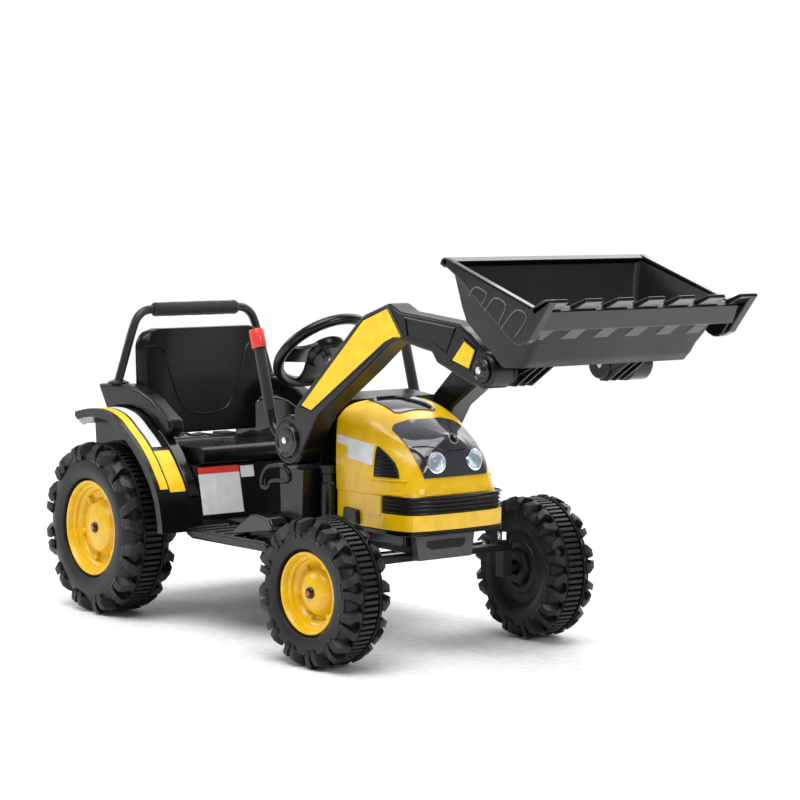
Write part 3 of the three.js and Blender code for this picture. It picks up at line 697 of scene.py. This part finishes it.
def drape(tree, rows, direction, lift):
    """A grid of points carried along a direction on to a surface, then lifted off it."""
    verts, faces = [], []
    n = len(rows[0])
    for row in rows:
        for p in row:
            hit, normal, _, _ = tree.ray_cast(p - direction * 0.5, direction)
            if hit is None:
                hit, normal, _, _ = tree.find_nearest(p)
            if normal.dot(direction) > 0:
                normal = -normal
            verts.append(hit + normal * lift)
    for i in range(len(rows) - 1):
        for j in range(n - 1):
            faces.append((i * n + j, i * n + j + 1, i * n + n + j + 1, i * n + n + j))
    return verts, faces


def between(table, z):
    for (z0, v0), (z1, v1) in zip(table, table[1:]):
        if z <= z1:
            return v0 + (v1 - v0) * (z - z0) / (z1 - z0)
    return table[-1][1]


def hood_panels():
    corner = [(281, 62), (300, 65.5), (320, 67), (340, 67.5), (352, 67), (358, 58), (364, 30)]
    rows = []
    for i in range(41):
        z = 281 + 83 * i / 40
        w = between(corner, z)
        rows.append([at(700, w * (-1 + 2 * j / 30), z) for j in range(31)])
    v, f = drape(HOOD, rows, Vector((-1, 0, 0)), 0.0008)
    from_data("headlight_panel_look", v, f, "chassis", SMOKE, thick=0.0022, bevel=0.0005, angle=50,
              stands_for=("headlight_panel",))
    rows = []
    for i in range(13):
        x = 518 + 64 * i / 12
        w = 47 - 6 * i / 12 - (8 if i == 12 else 0)
        rows.append([at(x, w * (-1 + 2 * j / 16), 450) for j in range(17)])
    v, f = drape(HOOD, rows, Vector((0, 0, -1)), 0.0008)
    from_data("hood_window_look", v, f, "chassis", SMOKE, thick=0.0022, bevel=0.0005, angle=50,
        stands_for=("hood_window",))
    for name, pts2, r in (("a", ((524, -34), (530, -4), (548, 8)), 0.003),
        ("b", ((548, 6), (566, 26), (576, 34)), 0.003)):
        pts = [HOOD.ray_cast(at(x, y, 450), Vector((0, 0, -1)))[0] + Vector((0, 0, 0.0035)) for x, y in pts2]
        v, f = sweep(smooth_path(pts, 6), r, 10)
        from_data(f"hood_wiper_{name}", v, f, "chassis", SATIN)
    pts = [HOOD.ray_cast(at(760, y, z), Vector((-1, 0, 0)))[0] + Vector((0.0022, 0, 0))
           for y, z in ((-64, 327), (-44, 328), (-22, 322), (0, 320), (22, 322), (44, 328), (64, 327))]
    from_data("panel_brow", *sweep(smooth_path(pts, 6), 0.0016, 10), "chassis", GLOSS)
    edge = [(281, 652), (292, 648), (304, 640), (315, 627), (327, 606)]
    for tag, s in SIDES:
        rows = []
        for i in range(15):
            z = 281 + 46 * i / 14
            x1 = between(edge, z)
            rows.append([at(604 + (x1 - 604) * j / 10, s * 140, z) for j in range(11)])
        v, f = drape(HOOD, rows, Vector((0, -s, 0)), 0.0006)
        from_data(f"side_grille_{tag}_look", v, f, "chassis", COARSE, thick=0.002, angle=50,
            stands_for=(f"side_grille_{tag}",))
        for i in range(7):
            z = 284 + i * 5.6
            x1 = between(edge, z) - 3
            pts = [HOOD.ray_cast(at(x, s * 140, z), Vector((0, -s, 0)))[0] + Vector((0, s * 0.0018, 0))
                   for x in [606 + (x1 - 606) * q / 5 for q in range(6)]]
            v, f = sweep(pts, 0.0014, 8)
            from_data(f"side_grille_{tag}_slat_{i}", v, f, "chassis", SATIN)
        for name, x0, z0, z1 in (("a", 516, 327, 341), ("b", 543, 309, 327)):
            rows = [[at(x0 + (599 - x0) * j / 8, s * 140, z - 0.14 * (x0 + (599 - x0) * j / 8 - 516)) for j in range(9)]
                    for z in (z0, (z0 + z1) / 2, z1)]
            v, f = drape(HOOD, rows, Vector((0, -s, 0)), 0.0004)
            from_data(f"hood_patch_{name}_{tag}", v, f, "chassis", WHITE)
        ledge = [HOOD.ray_cast(at(x, s * 140, 277), Vector((0, -s, 0)))[0] for x in (592, 610, 630, 648, 664)]
        from_data(f"hood_ledge_{tag}", *sweep(smooth_path(ledge, 4), 0.0022, 10), "chassis", YELLOW)
        headlight(tag, s)
    hit, normal, _, _ = HOOD.ray_cast(at(760, 0, 338), Vector((-1, 0, 0)))
    turn = Vector((0, 0, 1)).rotation_difference(normal).to_matrix()
    badge = [(0.0001, 0.001), (0.0075, 0.001), (0.0075, 0.0026), (0.006, 0.0034), (0.0001, 0.0038)]
    turned("hood_badge", badge, hit, turn, "chassis", GLOSS, n=40)
    ring = [(0.0073, 0.001), (0.0092, 0.001), (0.0092, 0.0032), (0.0073, 0.0032)]
    turned("hood_badge_ring", ring, hit, turn, "chassis", CHROME, n=40)


def headlight(tag, s):
    hit, _, _, _ = HOOD.ray_cast(at(760, s * 38, 304.5), Vector((-1, 0, 0)))
    normal = Vector((0.97, s * 0.12, 0.2)).normalized()
    hit = hit - normal * 0.002
    turn = Vector((0, 0, 1)).rotation_difference(normal).to_matrix()
    shell = [(0.0135, -0.004), (0.0172, -0.004), (0.0172, 0.0034), (0.0155, 0.0042), (0.0135, 0.0028)]
    turned(f"headlight_{tag}_bezel", shell, hit, turn, "chassis", CHROME, n=56)
    bowl = [(0.0001, 0.0012), (0.0138, 0.0014), (0.0138, 0.003), (0.0085, 0.002), (0.0001, 0.0018)]
    turned(f"headlight_{tag}_bowl", bowl, hit, turn, "chassis", CHROME, n=56)
    for i, (r0, r1) in enumerate(((0.0001, 0.0035), (0.0056, 0.0072), (0.0092, 0.0112))):
        disc = [(r0, 0.0022), (r1, 0.0022), (r1, 0.0034), (r0, 0.0034)]
        turned(f"headlight_{tag}_led_{i}", disc, hit, turn, "chassis", LED, n=48)
    dome = [(0.0001, 0.0036), (0.0152, 0.0036), (0.0152, 0.0044), (0.0115, 0.0062), (0.006, 0.0073), (0.0001, 0.0077)]
    turned(f"headlight_{tag}_look", dome, hit, turn, "chassis", LENS, n=56, stands_for=(f"headlight_{tag}",))


hood_panels()


def nose():
    rim = [(600, 104.5), (632, 104.5), (664, 98), (680, 90), (690, 66), (694, 34), (695, 0)]
    half = [(600, 103), (632, 100), (660, 93), (676, 83), (684, 64), (687.5, 34), (688, 0)]
    outline = [(x, -y) for x, y in half] + [(x, y) for x, y in reversed(half[:-1])]
    n = len(outline)
    v = [at(x, y, z) for z in (253.2, 268) for x, y in outline]
    v = [p if i < n else Vector((p.x - 0.006, p.y * 0.965, p.z)) for i, p in enumerate(v)]
    f = [tuple(range(n))[::-1], tuple(range(n, 2 * n))] + [(i, (i + 1) % n, n + (i + 1) % n, n + i) for i in range(n)]
    from_data("hood_lip", v, f, "chassis", YELLOW, bevel=0.003, segments=4, angle=40)
    outline = [(x, -y) for x, y in rim] + [(x, y) for x, y in reversed(rim[:-1])]
    trim = [at(x + 0.6, y * 1.004, 252.6) for x, y in outline if x > 622]
    from_data("grille_trim", *sweep(smooth_path(trim, 5), 0.0018, 10), "chassis", GLOSS)
    grille = [(x - 3.2 if x > 620 else x, y * 0.968) for x, y in outline if x > 622]
    for i in range(4):
        z = 229 + i * 6
        path = [at(x + 3.6, y * 1.02, z) for x, y in grille]
        vv, ff = sweep(smooth_path(path, 5), 0.0012, 8)
        from_data(f"grille_line_{i}", vv, ff, "chassis", SATIN)


nose()


# ---------------------------------------------------------------- loader arms
ARM = [(467, 366), (467, 381), (626, 518), (649, 534), (710, 554), (737, 542), (874, 530), (899, 517), (946, 480),
       (940, 445), (906, 443), (824, 471), (812, 486), (785, 490), (732, 500), (710, 493), (653, 453), (530, 373),
       (489, 314), (460, 320)]


def arm(tag, s):
    y0, y1 = sorted((s * 156, s * 116))
    v, f = slab(ARM, y0, y1)
    from_data(f"arm_{tag}_look", v, f, "boom", SATIN, bevel=0.004, segments=4, angle=25, stands_for=(f"arm_{tag}",))
    for name, x, z, r in (("root", BOOM.x, BOOM.z, 0.040), ("tip", TIP.x, TIP.z, 0.0265)):
        ring = [(0.006, -0.020), (r - 0.003, -0.020), (r, -0.017), (r, 0.0165), (r - 0.0035, 0.0205),
            (r - 0.007, 0.0205),
                (r - 0.0085, 0.019), (r - 0.011, 0.019), (r - 0.0125, 0.0205), (0.006, 0.0205)]
        turned(f"arm_{name}_{tag}", ring, Vector((x, s * 0.136, z)), OUT[s], "boom", SATIN, n=72, angle=40)
    face = s * 156.5
    panels = {"main": [(489, 386), (649, 525), (708, 545.5), (742, 504), (720, 501.5), (700, 494), (516, 380)],
              "tip": [(862, 477), (889, 505), (912, 494), (899, 467)]}
    for name, outline in panels.items():
        ya, yb = sorted((s * 155.5, s * 157.2))
        v, f = slab(outline, ya, yb)
        from_data(f"arm_decal_{name}_{tag}", v, f, "boom", DECAL, bevel=0.0003, segments=1)
        c = Vector((sum(p[0] for p in outline) / len(outline), 0, sum(p[1] for p in outline) / len(outline)))
        grown = []
        for x, z in outline:
            d = Vector((x - c.x, 0, z - c.z)).normalized()
            grown.append(at(x + d.x * 3.4, face, z + d.z * 3.4))
        v, f = sweep(grown, 0.0014, 8, closed=True)
        from_data(f"arm_ridge_{name}_{tag}", v, f, "boom", SATIN)
    recess = [(752, 534), (868, 523), (846, 486), (818, 500), (782, 503), (757, 507)]
    v, f = sweep([at(x, face, z) for x, z in recess], 0.0014, 8, closed=True)
    from_data(f"arm_ridge_mid_{tag}", v, f, "boom", SATIN)
    hub_cap(f"pivot_cap_{tag}", BOOM, s, 0.0275, "boom")
    hub_cap(f"bucket_pin_{tag}", TIP, s, 0.0185, "bucket")


def hub_cap(node, centre, s, r, body):
    where = Vector((centre.x, s * 0.1563, centre.z))
    p = [(0.0001, 0), (r, 0), (r, 0.0028), (r - 0.0015, 0.0045), (r - 0.0035, 0.0045), (r - 0.0048, 0.003),
         (r - 0.007, 0.003), (r - 0.0085, 0.0045), (r - 0.012, 0.0048), (0.0001, 0.0048)]
    turned(node + "_look", p, where, OUT[s], body, GLOSS, n=64, angle=30, stands_for=(node,))
    bolt = [(0.0001, 0.0045), (0.0058, 0.0045), (0.0058, 0.008), (0.0048, 0.009), (0.0001, 0.009)]
    turned(node + "_bolt", bolt, where, OUT[s], body, CHROME, n=6, angle=30, bevel=0.0005)
    if body == "bucket":
        pin = [(0.0001, -0.088), (0.006, -0.088), (0.006, 0.001), (0.0001, 0.001)]
        turned(node + "_shaft", pin, where, OUT[s], body, STEEL, n=28, angle=50)


for tag, s in SIDES:
    arm(tag, s)


# ---------------------------------------------------------------- bucket
LEVELS = [(972, 472, 1020, 474, 160), (960, 481, 1032, 486, 161.5), (946, 495, 1041, 500, 163),
          (922, 517, 1052, 513, 166.5),
          (903, 535, 1062, 527, 170), (896, 556, 1067, 534, 173), (893, 575, 1071, 540, 176),
          (890, 600, 1077, 549, 181),
          (888, 618, 1083, 557, 186)]


def bucket_rings(d, corner):
    out = []
    for i, (xb, zb, xf, zf, h) in enumerate(LEVELS):
        a, b = Vector((xb, 0, zb)), Vector((xf, 0, zf))
        u = (b - a).normalized()
        a, b, h = a + u * d, b - u * d, h - d
        if d:
            a.z += d * (1 - i / (len(LEVELS) - 1))
            b.z += d * (1 - i / (len(LEVELS) - 1))
        length = (b - a).length
        r = min(corner, length * 0.3)
        ring = []
        for cx, cy, a0 in ((r, -h + r, 180), (length - r, -h + r, 270), (length - r, h - r, 0), (r, h - r, 90)):
            for k in range(6):
                t = math.radians(a0 + 90 * k / 5)
                ring.append((cx + r * math.cos(t), cy + r * math.sin(t)))
        out.append([at(*(a + u * q).xz[:1], y, (a + u * q).z) for q, y in ring])
    return out


def bucket():
    outer, inner = bucket_rings(0, 12), bucket_rings(5, 8)
    rings = outer + inner[::-1]
    k = len(rings[0])
    v = [p for ring in rings for p in ring]
    f = [(i * k + j, i * k + (j + 1) % k, (i + 1) * k + (j + 1) % k, (i + 1) * k + j)
         for i in range(len(rings) - 1) for j in range(k)]
    f += [tuple(range(k))[::-1], tuple((len(rings) - 1) * k + j for j in range(k))]
    from_data("bucket_shell_look", v, f, "bucket", BUCKET, angle=50, bevel=0.001, stands_for=("bucket_shell",))
    skin = BVHTree.FromPolygons([tuple(p) for p in v], f)
    lip = slab([(881, 616), (892, 611), (900, 620), (890, 626), (884, 623)], -196, 196)
    from_data("bucket_back_lip", *lip, "bucket", GLOSS, bevel=0.0015)
    for tag, s in SIDES:
        y0, y1 = sorted((s * 183, s * 196))
        side = [(883, 618), (921, 597), (1038, 512), (1048, 508), (1058, 508), (1068, 513), (1078, 526), (1090, 548),
                (1086, 558), (1079, 562), (890, 626)]
        from_data(f"bucket_side_{tag}", *slab(side, y0, y1), "bucket", GLOSS, bevel=0.003, segments=4, angle=20)
        wing = [(1062, 509), (1078, 516), (1122, 570), (1120, 574), (1108, 573), (1083, 561), (1072, 535)]
        y0, y1 = sorted((s * 186, s * 200))
        from_data(f"bucket_wing_{tag}", *slab(wing, y0, y1), "bucket", GLOSS, bevel=0.002, segments=3, angle=20)
        tabs = (((947, 574), (962, 586), (986, 577), (973, 560)), ((982, 553), (1003, 572), (1027, 563), (1012, 538)),
                ((1018, 531), (1048, 557), (1071, 548), (1046, 520)))
        for i, tab in enumerate(tabs):
            path = [at(x, s * 196.4, z) for x, z in tab]
            from_data(f"bucket_pocket_{tag}_{i}", *sweep(smooth_path(path, 3), 0.0011, 8), "bucket", STRIPE)
        hub = [(0.0062, -0.022), (0.021, -0.022), (0.0225, -0.019), (0.0225, 0.019), (0.021, 0.023), (0.0062, 0.023)]
        turned(f"bucket_hub_{tag}", hub, Vector((TIP.x, s * 0.089, TIP.z)), OUT[s], "bucket", SATIN, n=48, angle=40)
        web = [(912, 478), (930, 449), (992, 474), (966, 500), (934, 548), (924, 540)]
        y0, y1 = sorted((s * 108, s * 70))
        from_data(f"bucket_web_{tag}", *slab(web, y0, y1), "bucket", SATIN, bevel=0.002, segments=3)
        for i in range(3):
            w = [(905, 484), (926, 441), (942, 441), (990, 472), (964, 498)]
            yy = s * (74 + i * 15)
            from_data(f"bucket_rib_{tag}_{i}", *slab(w, yy - 1.5, yy + 1.5), "bucket", SATIN, bevel=0.0008)
    strip_outline = [(1079.5, 531), (1086, 529), (1102, 556), (1095, 563), (1088, 563)]
    parts = [slab(strip_outline, -187, 187)]
    for c in range(-3, 4):
        y = c * 59
        w0, w1 = (24, 16)
        lo, hi = (y - w0, y + w0), (y - w1, y + w1)
        if abs(c) == 3:
            lo = (-200, -158) if c < 0 else (158, 200)
            hi = (-200, -166) if c < 0 else (166, 200)
        v = [at(1089, lo[0], 551), at(1089, lo[1], 551), at(1122, hi[1], 569), at(1122, hi[0], 569),
             at(1085, lo[0], 560), at(1085, lo[1], 560), at(1120, hi[1], 574), at(1120, hi[0], 574)]
        parts.append((v, [(0, 1, 2, 3), (7, 6, 5, 4), (0, 4, 5, 1), (1, 5, 6, 2), (2, 6, 7, 3), (3, 7, 4, 0)]))
    from_data("cutting_edge_look", *join(parts), "bucket", GLOSS, bevel=0.0014, segments=3, angle=25,
              stands_for=("cutting_edge",))
    for i in range(6):
        y = -151 + i * 60.3
        rows = []
        for q in range(4):
            z = 531 - q * 5.2
            shift = -q * 5.5
            rows.append([at(1200, y - 14 + 28 * j / 4 + shift, z) for j in range(5)])
        v, f = drape(skin, rows, Vector((-1, 0, 0)), 0.0005)
        from_data(f"bucket_stripe_{i}", v, f, "bucket", STRIPE)


bucket()


# ---------------------------------------------------------------- small pieces
def small_pieces():
    for tag, s in SIDES:
        soften(f"knuckle_{tag}", 0.0015, mat=BAR)
        sleeve = [(0.0066, 0.1632), (0.0092, 0.1632), (0.0092, 0.176), (0.0066, 0.176)]
        k = next(j for j in frame["joints"] if j["child"] == ("knuckle_r" if s < 0 else "knuckle_l"))
        c = Vector((k["pos_m"][0], k["pos_m"][1], 0))
        turned(f"kingpin_sleeve_{tag}", sleeve, c, Matrix.Identity(3), "knuckle_r" if s < 0 else "knuckle_l", CHROME,
            n=32)
        y0, y1 = sorted((s * 96.5, s * 112))
        from_data(f"corner_block_{tag}", *slab([(535, 203), (574, 203), (572, 226), (537, 228)], y0, y1), "chassis",
            SATIN, bevel=0.003)
        post = [(0.0001, 0.172), (0.0125, 0.172), (0.0125, 0.262), (0.0105, 0.264), (0.0105, 0.276), (0.0125, 0.278),
            (0.0125, 0.29), (0.0001, 0.292)]
        turned(f"corner_post_{tag}", post, at(499, s * 113, 0), Matrix.Identity(3), "chassis", SATIN, n=36, angle=30)
        path = [at(371, s * 150, 246), at(372, s * 150, 262), at(386, s * 150, 278), at(412, s * 150, 284),
            at(432, s * 150, 284),
                at(446, s * 150, 272), at(440, s * 150, 262), at(400, s * 150, 258), at(388, s * 150, 246)]
        v, f = sweep(smooth_path(path + [path[0]], 6)[:-1], 0.0042, 12, closed=True)
        from_data(f"step_loop_{tag}", v, f, "chassis", SATIN)
        y0, y1 = sorted((s * 122, s * 125))
        from_data(f"drilled_strip_{tag}", *slab([(404, 172), (414, 172), (414, 262), (404, 262)], y0, y1), "chassis",
            STEEL, bevel=0.0006)
        for i in range(9):
            hole = [(0.0001, 0), (0.0024, 0), (0.0024, 0.0004), (0.0001, 0.0004)]
            turned(f"drilled_strip_{tag}_hole_{i}", hole, at(409, s * 125, 178 + i * 9.6), OUT[s], "chassis", COARSE,
                n=16)
    face = 20 / 89.3

    def plate(z0, z1, out=0.6):
        return [(177 + (261.65 - z0) * face + out, z0), (177 + (261.65 - z1) * face + out, z1),
                (177 + (261.65 - z1) * face - 1, z1), (177 + (261.65 - z0) * face - 1, z0)]

    from_data("side_label", *slab(plate(181, 259), -148, -66), "chassis", WHITE)
    from_data("side_label_head", *slab(plate(248, 259, 0.9), -148, -66), "chassis", RED)
    from_data("side_label_small", *slab(plate(238, 257), -63, -36), "chassis", WHITE)
    for i in range(3):
        v, f = sweep([at(691 - abs(y) * 0.02, y, 194.5 + i * 2.4) for y in (-84, -50, 0, 50, 84)], 0.0009, 8)
        from_data(f"brow_line_{i}", v, f, "chassis", GLOSS)
    recess = [(-38, 171), (-30, 166), (30, 166), (38, 171), (38, 180), (-38, 180)]
    v = [at(x, y, z) for x in (655.8, 656.6) for y, z in recess]
    f = [tuple(range(6))[::-1], tuple(range(6, 12))] + [(i, (i + 1) % 6, 6 + (i + 1) % 6, 6 + i) for i in range(6)]
    from_data("chin_recess", v, f, "chassis", COARSE)


small_pieces()


# ---------------------------------------------------------------- stage, camera, light
def stage():
    mesh = bpy.data.meshes.new("floor")
    v = [(-14, -14, 0), (14, -14, 0), (14, 14, 0), (-14, 14, 0)]
    mesh.from_pydata([Vector(p) for p in v], [], [(0, 1, 2, 3)])
    floor = bpy.data.objects.new("floor", mesh)
    bpy.context.scene.collection.objects.link(floor)
    floor.data.materials.append(material("floor_white", (0.9, 0.9, 0.9), 0.6, vary=0.02))
    world = bpy.data.worlds.new("world")
    bpy.context.scene.world = world
    world.use_nodes = True
    t = world.node_tree
    coord = t.nodes.new("ShaderNodeTexCoord")
    dot = t.nodes.new("ShaderNodeVectorMath")
    dot.operation = "DOT_PRODUCT"
    dot.inputs[1].default_value = (-0.787, 0.613, 0.05)
    t.links.new(coord.outputs["Generated"], dot.inputs[0])
    ramp = t.nodes.new("ShaderNodeMapRange")
    ramp.inputs["From Min"].default_value = 0.1
    ramp.inputs["From Max"].default_value = 0.75
    ramp.inputs["To Min"].default_value = 0.22
    ramp.inputs["To Max"].default_value = 1.05
    t.links.new(dot.outputs["Value"], ramp.inputs["Value"])
    t.links.new(ramp.outputs["Result"], t.nodes["Background"].inputs[1])
    t.nodes["Background"].inputs[0].default_value = (1, 1, 1, 1)
    sun = bpy.data.lights.new("sun", "SUN")
    sun.energy = 2.2
    sun.angle = 0.9
    above = bpy.data.objects.new("sun", sun)
    above.rotation_euler = (0.25, 0.1, 0.4)
    bpy.context.scene.collection.objects.link(above)
    for name, where, size, power in (("key", (1.2, -1.6, 4.0), 3.0, 60), ("fill", (-2.8, -2.4, 2.4), 1.4, 32),
                                     ("rim", (-0.5, 2.8, 3.0), 2.6, 60), ("front", (3.4, 0.4, 2.0), 1.2, 32)):
        data = bpy.data.lights.new(name, "AREA")
        data.size = size
        data.energy = power
        light = bpy.data.objects.new(name, data)
        light.location = where
        light.rotation_euler = (Vector((0, 0, 0.3)) - Vector(where)).to_track_quat("-Z", "Y").to_euler()
        bpy.context.scene.collection.objects.link(light)


# The lens and place from which the object is seen
LENS = 107.97  # mm, on a 36 mm sensor
EYE = (3.5346, -2.3352, 0.7080)  # m, from the rear axle on the floor
AZIMUTH, PITCH, ROLL = 52.063, 4.788, 0.106  # degrees


def camera():
    data = bpy.data.cameras.new("camera")
    data.sensor_width = 36
    data.lens = LENS
    data.clip_start = 0.05
    cam = bpy.data.objects.new("camera", data)
    a, e, r = math.radians(AZIMUTH), math.radians(PITCH), math.radians(ROLL)
    view = Vector((-math.sin(a) * math.cos(e), math.cos(a) * math.cos(e), -math.sin(e)))
    right = Vector((math.cos(a), math.sin(a), 0))
    up = right.cross(view)
    right, up = right * math.cos(r) + up * math.sin(r), up * math.cos(r) - right * math.sin(r)
    turn = Matrix((right, up, -view)).transposed()
    cam.matrix_world = Matrix.Translation(Vector((X0 + EYE[0], EYE[1], EYE[2]))) @ turn.to_4x4()
    bpy.context.scene.collection.objects.link(cam)
    bpy.context.scene.camera = cam


stage()
camera()
bpy.context.scene.view_settings.view_transform = "Standard"
